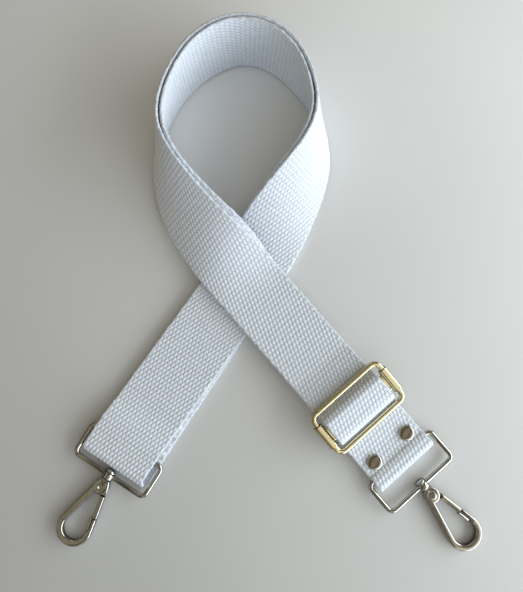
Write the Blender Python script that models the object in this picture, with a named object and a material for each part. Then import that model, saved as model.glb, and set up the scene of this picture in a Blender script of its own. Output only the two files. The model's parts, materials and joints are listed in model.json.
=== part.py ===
# Detachable bag strap: one length of cotton webbing laid double, with a trigger snap hook on a bail at
# each end, a slider on one leg, and double-cap rivets. It lies crossed, its loop standing on edge.
# Metres, +Z up. The origin is on the table under the point where the middles of the two legs cross.
import math

import bmesh
import bpy
from mathutils import Matrix, Vector

# Webbing
webbing_width = 0.038
webbing_thickness = 0.0018
clearance = 0.0003              # between pieces that touch or run on each other
loop_gap = 0.0008               # between the two plies at the top of the loop
edge_slip = 0.0029              # how far the lower ply stands out beside the upper one at the left fold
flank_slip = 0.0030             # the same for the inner ply where the left flank rises

# How the strap lies
right_leg_angle = math.radians(40.8)    # from -Y towards +X
left_leg_angle = math.radians(35.3)     # from -Y towards -X
right_leg_length = 0.1321               # from the crossing to the middle of the right fold
left_leg_length = 0.1206                # from the crossing to the middle of the left fold
left_turn_angle = math.radians(3.0)     # how far the left leg bends in its own plane before its fold
left_turn_length = 0.030
loop_half_width = 0.0466
loop_reach = 0.1332
crossing_reach = 0.030                  # how much of the right leg lies level over the left leg
station_step = 0.004                    # between two sections of the webbing
arc_step = math.radians(18)             # between two sections where the webbing is bent round a bar

# Rivets
rivet_cap_radius = 0.0041
rivet_base_thickness = 0.0010
rivet_post_radius = 0.0013
rivet_bevel = 0.0004
bail_rivet_cap_height = 0.0012
slider_rivet_cap_height = 0.0010
rivet_spread_share = 0.305              # of the webbing's width, from its middle to a rivet
bail_rivet_setback = 0.0076             # from the bar of the right bail back to the rivets
slider_rivet_setback = 0.0290           # from the middle of the slider back to the rivets
webbing_tail = 0.0090                   # webbing past the rivets at each end

# Slider
slider_setback = 0.0353                 # from the bar of the right bail back to the middle of the slider
slider_side = 0.0005                    # how far the slider sits to the inner side of the leg
slider_tilt = math.radians(11)
slider_lift = 0.0040                    # how far the upper bar holds the webbing off the layers below
frame_bar_width = 0.0030
frame_bar_thickness = 0.0026
frame_bevel = 0.0005
frame_opening = 0.0222                  # inside the frame, along the strap
frame_margin = 0.0024                   # between the webbing's edge and the frame
frame_corner_radius = 0.0037
centre_bar_width = 0.0100
centre_bar_thickness = 0.0012
sleeve_length = 0.0140
sleeve_wall = 0.0006
sleeve_seam = 0.0006

# Bails
bail_wire_radius = 0.00125
bail_length = 0.0185                    # between its two bars, from middle to middle
bail_corner_radius = 0.0030
bail_margin = 0.00055                   # between the webbing's edges and the bail
collar_radius = 0.0028
collar_length = 0.0035
collar_bevel = 0.0004
right_fold_slack = 0.0037               # from the right bail's bar to the middle of the webbing's fold
left_fold_slack = 0.0110                # the same on the left
left_opening_length = 0.020             # over which the plies part before the left bail's bar

# Swivel rivets
swivel_post_radius = 0.0012
swivel_head_radius = 0.0026
swivel_head_thickness = 0.0019
swivel_socket_depth = 0.0013

# Hooks
hook_thickness = 0.0042
hook_bar_width = 0.0032
hook_bevel = 0.0006
neck_radius = 0.0022
neck_length = 0.0044                    # from the neck's end face to the gate pin
head_radius = 0.0042
bow_radius = 0.0094
hook_reach = 0.0250                     # from the gate pin to the middle of the bow
nose_thickness = 0.0019
nose_place = 0.0170                     # from the gate pin to the end of the nose

# Gates
gate_width = 0.0026
gate_thickness = 0.0034
gate_bevel = 0.0004
gate_lap = 0.0056                       # how far the gate's tip reaches behind the nose
gate_tip_width = 0.0013
gate_eye_radius = 0.0023
gate_eye_thickness = 0.0009
gate_pin_radius = 0.0008
gate_pin_gap = 0.0001
gate_pin_head_radius = 0.0019
gate_pin_head_thickness = 0.0004
spring_wire_radius = 0.00012
spring_turns = 2.5
spring_pitch = 0.00034
spring_leg = 0.0015

round_steps = 24
small_steps = 16
bow_facets = 17                         # an odd number, so that one facet faces along the hook
overrun = 0.0010                        # how far a cutter passes the face it opens

# The loop, from the crossing up its left flank, over the top and down its right flank. Each row holds
# the place across as a share of the half width, the place along as a share of the reach, the angle in
# degrees between the webbing and the table, the share that is left of the rise over the other leg, and
# the share of the slip between the plies.
loop_shares = [
    (-0.09, 0.034, 8, 1.00, 0.4),
    (-0.26, 0.097, 21, 0.90, 0.8),
    (-0.45, 0.168, 33, 0.50, 1.0),
    (-0.62, 0.246, 41, 0.18, 0.7),
    (-0.77, 0.328, 49, 0.00, 0.3),
    (-0.90, 0.418, 61, 0.00, 0.0),
    (-0.99, 0.515, 73, 0.00, 0.0),
    (-1.01, 0.619, 83, 0.00, 0.0),
    (-0.93, 0.728, 88, 0.00, 0.0),
    (-0.79, 0.832, 91, 0.00, 0.0),
    (-0.57, 0.929, 97, 0.00, 0.0),
    (-0.27, 1.001, 99, 0.00, 0.0),
    (0.05, 1.020, 98, 0.00, 0.0),
    (0.36, 0.984, 98, 0.00, 0.0),
    (0.61, 0.902, 96, 0.00, 0.0),
    (0.79, 0.794, 88, 0.00, 0.0),
    (0.90, 0.690, 80, 0.00, 0.0),
    (0.905, 0.586, 72, 0.00, 0.0),
    (0.83, 0.485, 59, 0.00, 0.0),
    (0.69, 0.392, 46, 0.00, 0.0),
    (0.53, 0.302, 33, 0.00, 0.0),
    (0.36, 0.209, 16, 0.00, 0.0),
    (0.19, 0.109, 0, 0.00, 0.0),
]
right_leg_row_shares = [1.4, 1.0, 0.6, 0.2]     # of the crossing's reach, the rows on the right leg
left_leg_rows = 9                               # equal steps along the left leg

# Values that follow from those above
layer = webbing_thickness + clearance
half_width = webbing_width / 2
ply_half = webbing_thickness / 2
right_bar = right_leg_length - right_fold_slack
slider_place = right_bar - slider_setback
stub_level = rivet_base_thickness + clearance + ply_half
run_level = stub_level + layer
cap_level = run_level + ply_half + clearance
bail_wrap = bail_wire_radius + clearance + ply_half
bail_level = ply_half + bail_wrap
bar_half_length = (centre_bar_width - centre_bar_thickness) / 2
bar_wrap = centre_bar_thickness / 2 + clearance + ply_half
frame_offset = (frame_opening + frame_bar_width) / 2
frame_section_radius = math.hypot(frame_bar_width / 2 - frame_bevel, frame_bar_thickness / 2)
frame_wrap = frame_section_radius + clearance + ply_half
upper_bar_level = stub_level + 2 * layer + frame_wrap + slider_lift
slider_level = upper_bar_level - frame_offset * math.sin(slider_tilt)
crossing_rise = 2 * layer
rivet_offset = rivet_spread_share * webbing_width

up = Vector((0, 0, 1))
right_along = Vector((math.sin(right_leg_angle), -math.cos(right_leg_angle), 0))
right_across = up.cross(right_along)
left_along = Vector((-math.sin(left_leg_angle), -math.cos(left_leg_angle), 0))


# Objects and materials

def clear_scene():
    for item in list(bpy.data.objects):
        bpy.data.objects.remove(item, do_unlink=True)


def finish(name, colour, roughness, metallic):
    material = bpy.data.materials.new(name)
    material.use_nodes = True
    shader = material.node_tree.nodes["Principled BSDF"]
    shader.inputs["Base Color"].default_value = (*colour, 1)
    shader.inputs["Roughness"].default_value = roughness
    shader.inputs["Metallic"].default_value = metallic
    material.diffuse_color = (*colour, 1)
    return material


def cotton(name):
    return finish(name, (0.86, 0.86, 0.88), 0.85, 0)


def nickel(name):
    return finish(name, (0.72, 0.70, 0.66), 0.18, 1)


def pale_gold(name):
    return finish(name, (0.80, 0.72, 0.50), 0.25, 1)


def steel(name):
    return finish(name, (0.60, 0.60, 0.60), 0.30, 1)


def add_object(name, vertices, faces, material=None, parent=None, smooth=True):
    mesh = bpy.data.meshes.new(name)
    mesh.from_pydata([tuple(vertex) for vertex in vertices], [], faces)
    shape = bmesh.new()
    shape.from_mesh(mesh)
    bmesh.ops.recalc_face_normals(shape, faces=shape.faces)
    shape.to_mesh(mesh)
    shape.free()
    if smooth:
        mesh.shade_smooth()
        mesh.set_sharp_from_angle(angle=math.radians(35))
    item = bpy.data.objects.new(name, mesh)
    bpy.context.collection.objects.link(item)
    if material:
        mesh.materials.append(material)
    item.parent = parent
    return item


def add_empty(name, matrix, parent=None):
    item = bpy.data.objects.new(name, None)
    bpy.context.collection.objects.link(item)
    item.parent = parent
    item.matrix_local = matrix
    return item


def as_tool(item):
    item.hide_render = True
    item.display_type = "WIRE"
    return item


def combine(item, operation, tools):
    for tool in tools:
        step = item.modifiers.new(operation.title() + " " + tool.name, "BOOLEAN")
        step.operation = operation
        step.solver = "EXACT"
        step.object = as_tool(tool)


# Shapes

def skin(name, rings, material=None, parent=None, closed=False):
    count = len(rings[0])
    vertices = [vertex for ring in rings for vertex in ring]
    faces = []
    for place in range(len(rings) if closed else len(rings) - 1):
        here, there = place * count, (place + 1) % len(rings) * count
        for corner in range(count):
            after = (corner + 1) % count
            faces.append((here + corner, here + after, there + after, there + corner))
    if not closed:
        faces.append(tuple(range(count)))
        faces.append(tuple(range(len(vertices) - count, len(vertices))))
    return add_object(name, vertices, faces, material, parent)


def circle_ring(centre, side, top, radius, steps):
    angles = [2 * math.pi * step / steps for step in range(steps)]
    return [centre + radius * (math.cos(angle) * side + math.sin(angle) * top) for angle in angles]


def turned(name, profile, axis, side, steps, material=None, parent=None, start=Vector((0, 0, 0))):
    # A body of revolution: the profile holds places along the axis with the radius there.
    top = axis.cross(side)
    rings = [circle_ring(start + axis * along, side, top, radius, steps) for along, radius in profile]
    return skin(name, rings, material, parent)


def wire(name, points, radius, steps, material=None, parent=None, closed=False, side=None):
    # A round wire through the points; side is a direction that no stretch of it runs along.
    rings = []
    for place, point in enumerate(points):
        before = points[place - 1] if closed or place else point
        after = points[(place + 1) % len(points)] if closed or place < len(points) - 1 else point
        tangent = (after - before).normalized()
        across = tangent.cross(side).normalized()
        rings.append(circle_ring(point, across, across.cross(tangent), radius, steps))
    return skin(name, rings, material, parent, closed)


def bevelled_ring(centre, side, top, outer, inner, high, low, bevel):
    # An eight-cornered section, from -inner to outer along side and from -low to high along top.
    corners = [(outer, high - bevel), (outer - bevel, high), (bevel - inner, high), (-inner, high - bevel),
               (-inner, bevel - low), (bevel - inner, -low), (outer - bevel, -low), (outer, bevel - low)]
    return [centre + side * across + top * rise for across, rise in corners]


def belt(wheels, facets=0):
    # A path that runs straight between wheels and round them. Each wheel is (place, height, radius); a
    # positive radius turns clockwise, a negative one the other way, and zero is a plain point. It
    # returns the place, height and direction of each point.
    angles = []
    for (x1, z1, r1), (x2, z2, r2) in zip(wheels, wheels[1:]):
        reach = math.hypot(x2 - x1, z2 - z1)
        angles.append(math.atan2(z2 - z1, x2 - x1) + math.asin((r2 - r1) / reach))
    points = []
    for place, (x, z, radius) in enumerate(wheels):
        first = angles[max(place - 1, 0)]
        last = angles[min(place, len(angles) - 1)]
        turn = last - first
        lowest = -1.6 * math.pi if radius > 0 else -0.4 * math.pi
        while turn < lowest:
            turn += 2 * math.pi
        while turn >= lowest + 2 * math.pi:
            turn -= 2 * math.pi
        steps = max(1, math.ceil(abs(turn) / arc_step)) if radius else 0
        if facets and 0 < place < len(wheels) - 1:
            steps = facets
        for step in range(steps + 1):
            angle = first + turn * step / steps if steps else first + turn / 2
            points.append((x - radius * math.sin(angle), z + radius * math.cos(angle), angle))
            if not turn:
                break
    return points


def smoothstep(value):
    value = min(max(value, 0), 1)
    return value * value * (3 - 2 * value)


# Webbing

def slider_wheel(place, radius):
    # A wheel at a place along the tilted slider.
    return slider_place + place * math.cos(slider_tilt), slider_level - place * math.sin(slider_tilt), radius


def right_end_path():
    # From the end under the bail rivets out to the bail, round its bar, back, over the slider's centre
    # bar and on to the crossing.
    rivets = right_bar - bail_rivet_setback
    hidden = slider_place - slider_rivet_setback
    level_reach = rivet_cap_radius
    over_cap = cap_level + slider_rivet_cap_height + clearance + ply_half
    return belt([
        (rivets - webbing_tail, stub_level, 0),
        (rivets + level_reach, stub_level, 0),
        (right_bar, bail_level, -bail_wrap),
        (right_leg_length, bail_level, -bail_wrap),
        (right_bar, bail_level, -bail_wrap),
        (rivets + level_reach, run_level, 0),
        (rivets - level_reach, run_level, 0),
        slider_wheel(frame_offset, frame_wrap),
        slider_wheel(bar_half_length, -bar_wrap - layer),
        slider_wheel(-bar_half_length, -bar_wrap - layer),
        slider_wheel(-frame_offset, frame_wrap),
        (hidden, over_cap, 0),
        (crossing_reach, ply_half + layer + crossing_rise, 0),
    ])


def slider_end_path():
    # From the crossing out under the top ply, round the slider's centre bar and back underneath.
    rivets = slider_place - slider_rivet_setback
    level_reach = rivet_cap_radius
    return belt([
        (crossing_reach, ply_half + crossing_rise, 0),
        (rivets - level_reach, run_level, 0),
        (rivets + level_reach, run_level, 0),
        slider_wheel(-frame_offset, -frame_wrap - layer),
        slider_wheel(-bar_half_length, bar_wrap),
        slider_wheel(bar_half_length, bar_wrap),
        slider_wheel(-frame_offset, frame_wrap + 2 * layer),
        (rivets + level_reach, stub_level, 0),
        (rivets - webbing_tail, stub_level, 0),
    ])


def left_leg_point(along):
    # The left leg's middle line: straight, then bent a little in its own plane.
    bend_start = left_leg_length - left_turn_length
    beyond = max(along - bend_start, 0)
    turn = left_turn_angle * beyond / left_turn_length
    side = up.cross(left_along)
    if not turn:
        return left_along * along
    radius = beyond / turn
    return left_along * (bend_start + radius * math.sin(turn)) + side * radius * (1 - math.cos(turn))


def lay_rows():
    # Control rows of the doubled webbing: x, y, angle with the table, rise and slip.
    rows = []
    for share in right_leg_row_shares:
        point = right_along * share * crossing_reach
        rows.append((point.x, point.y, 0, crossing_rise, 0))
    for across, along, angle, rise, slip in loop_shares:
        rows.append((across * loop_half_width, along * loop_reach, math.radians(angle),
                     rise * crossing_rise, slip * flank_slip))
    for step in range(left_leg_rows + 2):
        point = left_leg_point(left_leg_length * step / left_leg_rows)
        rows.append((point.x, point.y, 0, 0, 0))
    return rows


def spline(rows, fineness):
    # A uniform cubic B-spline, from the second row to the last but one.
    samples = []
    for first in range(len(rows) - 3):
        for step in range(fineness):
            t = step / fineness
            weights = ((1 - t) ** 3, 3 * t ** 3 - 6 * t * t + 4, 1 + 3 * t + 3 * t * t - 3 * t ** 3, t ** 3)
            columns = zip(*rows[first:first + 4])
            samples.append([sum(w * value for w, value in zip(weights, column)) / 6 for column in columns])
    last = rows[-3:]
    samples.append([(before + 4 * here + after) / 6 for before, here, after in zip(*last)])
    return samples


def stations():
    # Sections of the doubled webbing at equal steps: the middle between the plies, the direction across,
    # the direction from the inner ply to the outer one, the distance between the plies, and the slip.
    samples = spline(lay_rows(), 12)
    reach = [0]
    for before, after in zip(samples, samples[1:]):
        reach.append(reach[-1] + math.dist(before[:2], after[:2]))
    count = round(reach[-1] / station_step)
    result = []
    place = 0
    for step in range(count + 1):
        goal = reach[-1] * step / count
        while place < len(reach) - 2 and reach[place + 1] < goal:
            place += 1
        share = (goal - reach[place]) / (reach[place + 1] - reach[place])
        before, after = samples[place], samples[place + 1]
        x, y, angle, rise, slip = [a + (b - a) * share for a, b in zip(before, after)]
        tangent = Vector((after[0] - before[0], after[1] - before[1], 0)).normalized()
        side = tangent.cross(up)
        to_end = reach[-1] - goal
        bar_reach = left_fold_slack + bail_wrap
        parting = smoothstep(1 - (to_end - bar_reach) / left_opening_length)
        gap = layer + (loop_gap - clearance) * math.sin(angle) ** 2
        gap += (2 * bail_wrap - gap) * parting
        lift = (gap / 2 + ply_half) * abs(math.cos(angle)) + rise
        middle = Vector((x, y, lift + half_width * math.sin(angle)))
        across = side * math.cos(angle) + up * math.sin(angle)
        normal = up * math.cos(angle) - side * math.sin(angle)
        slip -= edge_slip * smoothstep(1 - to_end / left_leg_length)
        result.append((middle, across, normal, gap, slip, tangent))
    return result


def strip_ring(point, across, normal):
    return [point + side * half_width * across + face * ply_half * normal
            for side, face in ((1, 1), (-1, 1), (-1, -1), (1, -1))]


def leg_rings(path):
    # Sections of the webbing along a path over the right leg, given as place, height and direction.
    rings = []
    for place, height, angle in path:
        normal = right_along * math.sin(angle) - up * math.cos(angle)
        rings.append(strip_ring(right_along * place + up * height, right_across, normal))
    return rings


def fold_rings(middle, across, tangent):
    # The webbing's turn from the upper ply to the lower one at the end of the left leg.
    rings = []
    steps = math.ceil(math.pi / arc_step)
    for step in range(1, steps):
        angle = math.pi * step / steps
        normal = up * math.cos(angle) + tangent * math.sin(angle)
        slip = across * edge_slip * step / steps
        rings.append(strip_ring(middle + normal * bail_wrap - slip, across, normal))
    return rings


def make_webbing(cutters):
    laid = stations()
    upper = [strip_ring(point + normal * gap / 2, across, normal)
             for point, across, normal, gap, slip, tangent in laid]
    lower = [strip_ring(point - normal * gap / 2 + across * slip, across, -normal)
             for point, across, normal, gap, slip, tangent in laid]
    point, across, normal, gap, slip, tangent = laid[-1]
    first = leg_rings(right_end_path())[:-1] + upper + fold_rings(point, across, tangent)
    rings = first + lower[::-1] + leg_rings(slider_end_path())[1:]
    faces = []
    for place in range(len(rings) - 1):
        here, there = 4 * place, 4 * place + 4
        for corner in range(4):
            after = (corner + 1) % 4
            if place < len(first):
                faces.append((here + corner, here + after, there + after))
                faces.append((here + corner, there + after, there + corner))
            else:
                # The other diagonal, so that the two plies keep their distance where they twist
                faces.append((here + corner, here + after, there + corner))
                faces.append((here + after, there + after, there + corner))
    faces.append((0, 1, 2, 3))
    faces.append(tuple(range(4 * len(rings) - 4, 4 * len(rings))))
    vertices = [vertex for ring in rings for vertex in ring]
    webbing = add_object("webbing", vertices, faces, cotton("cotton webbing"))
    combine(webbing, "DIFFERENCE", cutters)


# Rivets

def make_rivets(prefix, place, cap_height):
    # Two double-cap rivets across the right leg. Returns the tools that pierce the webbing for them.
    cutters = []
    for number, side in ((1, 1), (2, -1)):
        foot = right_along * place + right_across * side * rivet_offset
        post_top = cap_level + cap_height - 2 * clearance
        base = [(0, rivet_cap_radius - rivet_bevel), (rivet_bevel, rivet_cap_radius),
                (rivet_base_thickness, rivet_cap_radius), (rivet_base_thickness, rivet_post_radius),
                (post_top, rivet_post_radius)]
        cap = [(cap_level, rivet_cap_radius - rivet_bevel / 2), (cap_level + rivet_bevel, rivet_cap_radius),
               (cap_level + cap_height - rivet_bevel, rivet_cap_radius - rivet_bevel),
               (cap_level + cap_height, rivet_cap_radius - 3 * rivet_bevel)]
        socket = [(cap_level - overrun, rivet_post_radius + clearance),
                  (cap_level + cap_height - clearance, rivet_post_radius + clearance)]
        hole = [(0, rivet_post_radius + clearance), (cap_level, rivet_post_radius + clearance)]
        name = f"{prefix}_rivet_{number}"
        across = right_across
        turned(name + "_post", base, up, across, round_steps, nickel(name + " post"), start=foot)
        head = turned(name + "_cap", cap, up, across, round_steps, nickel(name + " cap"), start=foot)
        combine(head, "DIFFERENCE", [turned(name + "_socket", socket, up, across, small_steps, start=foot)])
        cutters.append(as_tool(turned(name + "_hole", hole, up, across, small_steps, start=foot)))
    return cutters


# Slider

def rounded_rectangle(left, right, half, radius, steps=6):
    # A closed path round a rectangle with round corners: each point with the direction outwards.
    points = []
    corners = ((right, 1, 0), (left, 1, 1), (left, -1, 2), (right, -1, 3))
    for x, side, quarter in corners:
        inward = -radius if x == right else radius
        centre = Vector((x + inward, side * (half - radius), 0))
        for step in range(steps + 1):
            angle = math.pi / 2 * (quarter + step / steps)
            outward = Vector((math.cos(angle), math.sin(angle), 0))
            points.append((centre + outward * radius, outward))
    return points


def make_slider_frame(place):
    side_place = half_width + frame_margin + frame_bar_width / 2
    path = rounded_rectangle(-frame_offset, frame_offset, side_place, frame_corner_radius)
    width, thick = frame_bar_width / 2, frame_bar_thickness / 2
    rings = [bevelled_ring(point, outward, up, width, width, thick, thick, frame_bevel)
             for point, outward in path]
    skin("slider_frame", rings, pale_gold("slider frame"), place, closed=True)


def sleeve_outline():
    wide = frame_bar_width / 2 + clearance
    high = frame_bar_thickness / 2 + clearance
    outer_wide, outer_high = wide + sleeve_wall, high + sleeve_wall
    seam = sleeve_seam / 2
    corner = sleeve_wall
    return [(seam, -outer_high), (outer_wide - corner, -outer_high), (outer_wide, corner - outer_high),
            (outer_wide, outer_high - corner), (outer_wide - corner, outer_high),
            (corner - outer_wide, outer_high), (-outer_wide, outer_high - corner),
            (-outer_wide, corner - outer_high), (corner - outer_wide, -outer_high), (-seam, -outer_high),
            (-seam, -high), (-wide, -high), (-wide, high), (wide, high), (wide, -high), (seam, -high)]


def make_slider_bar(place):
    side_place = half_width + frame_margin + frame_bar_width / 2
    plate_end = side_place - frame_bar_width / 2 - clearance - sleeve_wall / 2
    radius = centre_bar_thickness / 2
    outline = []
    for side, turn in ((1, -0.5), (-1, 0.5)):
        for step in range(7):
            angle = math.pi * (turn + step / 6)
            outline.append((side * bar_half_length + radius * math.cos(angle), radius * math.sin(angle)))
    rings = [[Vector((x, y, z)) for x, z in outline] for y in (-plate_end, plate_end)]
    bar = skin("slider_bar", rings, pale_gold("slider bar"), place)
    sleeves = []
    for name, side in (("upper_sleeve", 1), ("lower_sleeve", -1)):
        section = [[Vector((x, side * side_place + y, z)) for y, z in sleeve_outline()]
                   for x in (-sleeve_length / 2, sleeve_length / 2)]
        sleeves.append(skin(name, section, None, place))
    combine(bar, "UNION", sleeves)


# Bails and hooks. Their own frame has its origin on the bail's bar, X outwards along the hook, Z up.

along = Vector((1, 0, 0))
sideways = Vector((0, 1, 0))
bail_half = (webbing_width + edge_slip) / 2 + bail_margin + bail_wire_radius
collar_start = bail_length - bail_wire_radius
neck_start = collar_start + collar_length + clearance
pin_place = neck_start + neck_length
bow_place = pin_place + hook_reach
head_wheel = head_radius - hook_bar_width / 2 - clearance
bow_wheel = bow_radius - hook_bar_width / 2
flank_angle = math.asin((bow_wheel - head_wheel) / hook_reach)
spring_height = spring_turns * spring_pitch + 2 * spring_wire_radius
fork_width = gate_eye_thickness + spring_height + 3 * clearance
eye_low = clearance - fork_width / 2
eye_high = eye_low + gate_eye_thickness


def make_bail(side, place):
    path = rounded_rectangle(0, bail_length, bail_half, bail_corner_radius)
    points = [point for point, outward in path]
    name = side + "_bail"
    bail = wire(name, points, bail_wire_radius, 12, nickel(name), place, closed=True, side=up)
    radius = collar_radius - collar_bevel
    shape = [(collar_start, radius), (collar_start + collar_bevel, collar_radius),
             (collar_start + collar_length - collar_bevel, collar_radius),
             (collar_start + collar_length, radius)]
    bore = [(collar_start - overrun, swivel_post_radius + clearance),
            (collar_start + collar_length + overrun, swivel_post_radius + clearance)]
    collar = turned(side + "_collar", shape, along, sideways, round_steps, None, place)
    hole = turned(side + "_collar_bore", bore, along, sideways, small_steps, None, place)
    combine(bail, "UNION", [collar])
    combine(bail, "DIFFERENCE", [hole])


def make_swivel_rivet(side, place):
    face = collar_start - clearance
    bevel = swivel_head_thickness / 3
    shape = [(face - swivel_head_thickness, swivel_head_radius - 2 * bevel),
             (face - 2 * bevel, swivel_head_radius - bevel / 2), (face - bevel, swivel_head_radius),
             (face, swivel_head_radius), (face, swivel_post_radius),
             (neck_start + swivel_socket_depth - clearance, swivel_post_radius)]
    name = side + "_swivel_rivet"
    turned(name, shape, along, sideways, small_steps, steel(name), place)


def hook_bar_rings():
    # The hook's bar from its head along the solid flank, round the bow and back to the nose.
    half = hook_bar_width / 2
    high = hook_thickness / 2
    head = (pin_place, 0, -head_wheel)
    path = belt([head, (bow_place, 0, -bow_wheel), head], bow_facets)
    rings = []
    for x, y, angle in path[:-1]:
        outward = Vector((math.sin(angle), -math.cos(angle), 0))
        rings.append(bevelled_ring(Vector((x, y, 0)), outward, up, half, half, high, high, hook_bevel))
    x, y, angle = path[-1]
    back = Vector((-math.cos(angle), -math.sin(angle), 0))
    outward = Vector((math.sin(angle), -math.cos(angle), 0))
    lap_end = nose_place + gate_lap + clearance
    for reach in (lap_end, nose_place):
        point = Vector((x, y, 0)) + back * reach
        rings.append(bevelled_ring(point, outward, up, half, nose_thickness - half, high, high, hook_bevel))
    return rings


def make_hook_body(side, place):
    name = side + "_hook_body"
    body = skin(name, hook_bar_rings(), nickel(name), place)
    pin = along * pin_place
    high = hook_thickness / 2
    plate = [(-high, head_radius - hook_bevel), (hook_bevel - high, head_radius),
             (high - hook_bevel, head_radius), (high, head_radius - hook_bevel)]
    neck = [(neck_start, neck_radius - hook_bevel), (neck_start + hook_bevel, neck_radius),
            (pin_place - gate_eye_radius, neck_radius)]
    slot_radius = gate_eye_radius + clearance
    slot = [(-fork_width / 2, slot_radius), (fork_width / 2, slot_radius)]
    pin_hole = [(reach, gate_pin_radius + gate_pin_gap) for reach in (-high - overrun, high + overrun)]
    socket = [(neck_start - overrun, swivel_post_radius + clearance),
              (neck_start + swivel_socket_depth, swivel_post_radius + clearance)]
    mouth = [[Vector((x, y, z)) for y, z in ((-gate_pin_radius, -fork_width / 2),
                                            (head_radius + overrun, -fork_width / 2),
                                            (head_radius + overrun, fork_width / 2),
                                            (-gate_pin_radius, fork_width / 2))]
             for x in (pin_place, pin_place + head_radius + overrun)]
    combine(body, "UNION", [
        turned(side + "_head_plate", plate, up, along, round_steps, None, place, pin),
        turned(side + "_neck", neck, along, sideways, small_steps, None, place)])
    combine(body, "DIFFERENCE", [
        turned(side + "_fork_slot", slot, up, along, round_steps, None, place, pin),
        skin(side + "_fork_mouth", mouth, None, place),
        turned(side + "_pin_hole", pin_hole, up, along, small_steps, None, place, pin),
        turned(side + "_socket", socket, along, sideways, small_steps, None, place)])


def make_gate(side, place):
    # The gate's own frame has its origin on the gate pin.
    name = side + "_gate"
    line = Vector((math.cos(flank_angle), math.sin(flank_angle), 0))
    outward = up.cross(line)
    outer = head_wheel + hook_bar_width / 2
    inner = outer - gate_width
    tip_outer = outer - nose_thickness - clearance
    tip_inner = tip_outer - gate_tip_width
    high = gate_thickness / 2
    root = head_radius + clearance
    thin = gate_eye_thickness / 4
    step = nose_place - clearance
    sections = [(gate_eye_radius / 2, outer, inner, eye_high, -eye_low, thin),
                (root - clearance, outer, inner, eye_high, -eye_low, thin),
                (root, outer, inner, high, high, gate_bevel),
                (step - clearance, outer, inner, high, high, gate_bevel),
                (step, tip_outer, tip_inner, high, high, gate_bevel),
                (nose_place + gate_lap, tip_outer, tip_inner, high, high, gate_bevel)]
    rings = [bevelled_ring(line * reach, outward, up, out, -near, top, low, bevel)
             for reach, out, near, top, low, bevel in sections]
    gate = skin(name, rings, nickel(name), place)
    eye = [(eye_low, gate_eye_radius), (eye_high, gate_eye_radius)]
    hole = [(reach, gate_pin_radius + gate_pin_gap) for reach in (eye_low - clearance, eye_high + clearance)]
    combine(gate, "UNION", [turned(side + "_gate_eye", eye, up, along, round_steps, None, place)])
    combine(gate, "DIFFERENCE", [turned(side + "_gate_hole", hole, up, along, small_steps, None, place)])


def make_gate_pin(side, place):
    face = hook_thickness / 2 + gate_pin_gap
    middle = face + gate_pin_head_thickness / 2
    end = face + gate_pin_head_thickness
    rim = gate_pin_head_radius - gate_pin_head_thickness
    shape = [(-end, rim), (-middle, gate_pin_head_radius), (-face, gate_pin_head_radius),
             (-face, gate_pin_radius), (face, gate_pin_radius), (face, gate_pin_head_radius),
             (middle, gate_pin_head_radius), (end, rim)]
    name = side + "_gate_pin"
    turned(name, shape, up, along, small_steps, steel(name), place)


def make_gate_spring(side, place):
    # A torsion spring round the pin: one leg along the gate, the other against the head.
    radius = gate_pin_radius + clearance + spring_wire_radius
    low = eye_high + clearance + spring_wire_radius
    steps = round(10 * spring_turns)
    points = [Vector((spring_leg, -radius, low))]
    for step in range(steps + 1):
        angle = -math.pi / 2 - 2 * math.pi * spring_turns * step / steps
        rise = spring_pitch * spring_turns * step / steps
        points.append(Vector((radius * math.cos(angle), radius * math.sin(angle), low + rise)))
    line = Vector((math.cos(flank_angle), math.sin(flank_angle), 0))
    outward = up.cross(line)
    below_gate = head_wheel + hook_bar_width / 2 - gate_width - clearance - 2 * spring_wire_radius
    reach = head_radius + spring_leg
    points.append(line * reach + outward * below_gate + up * (low + spring_pitch * spring_turns))
    name = side + "_gate_spring"
    wire(name, points, spring_wire_radius, 6, steel(name), place, side=up)


def bail_matrix(origin, outward):
    # The hook's own frame, tipped so that the bow's underside meets the table.
    reach = bow_place + bow_radius - hook_bevel
    tip = math.asin((bail_level - hook_thickness / 2) / reach)
    x_axis = outward * math.cos(tip) - up * math.sin(tip)
    y_axis = up.cross(outward)
    rotation = Matrix((x_axis, y_axis, x_axis.cross(y_axis))).transposed().to_4x4()
    return Matrix.Translation(origin) @ rotation


def make_hook(side, matrix):
    bail_axis = add_empty(side + "_bail_axis", matrix)
    swivel_axis = add_empty(side + "_swivel_axis", Matrix.Identity(4), bail_axis)
    gate_axis = add_empty(side + "_gate_axis", Matrix.Translation(along * pin_place), swivel_axis)
    make_bail(side, bail_axis)
    make_swivel_rivet(side, swivel_axis)
    make_hook_body(side, swivel_axis)
    make_gate(side, gate_axis)
    make_gate_pin(side, gate_axis)
    make_gate_spring(side, gate_axis)


# The whole strap

clear_scene()
cutters = make_rivets("bail", right_bar - bail_rivet_setback, bail_rivet_cap_height)
cutters += make_rivets("slider", slider_place - slider_rivet_setback, slider_rivet_cap_height)
make_webbing(cutters)

slope = right_along * math.cos(slider_tilt) - up * math.sin(slider_tilt)
slider_rotation = Matrix((slope, right_across, slope.cross(right_across))).transposed().to_4x4()
slider_origin = right_along * slider_place + right_across * slider_side + up * slider_level
slider_axis = add_empty("slider_axis", Matrix.Translation(slider_origin) @ slider_rotation)
make_slider_frame(slider_axis)
make_slider_bar(slider_axis)

make_hook("right", bail_matrix(right_along * right_bar + up * bail_level, right_along))
point, across, normal, gap, slip, tangent = stations()[-1]
left_bar = point - tangent * left_fold_slack - across * edge_slip / 2
make_hook("left", bail_matrix(left_bar, tangent))
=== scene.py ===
# The looks of the bag strap: woven cotton webbing, a pale gold slider, nickel hooks, bails and rivets.
import json
import math

import bmesh
import bpy
import numpy as np
from mathutils import Matrix, Vector


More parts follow.
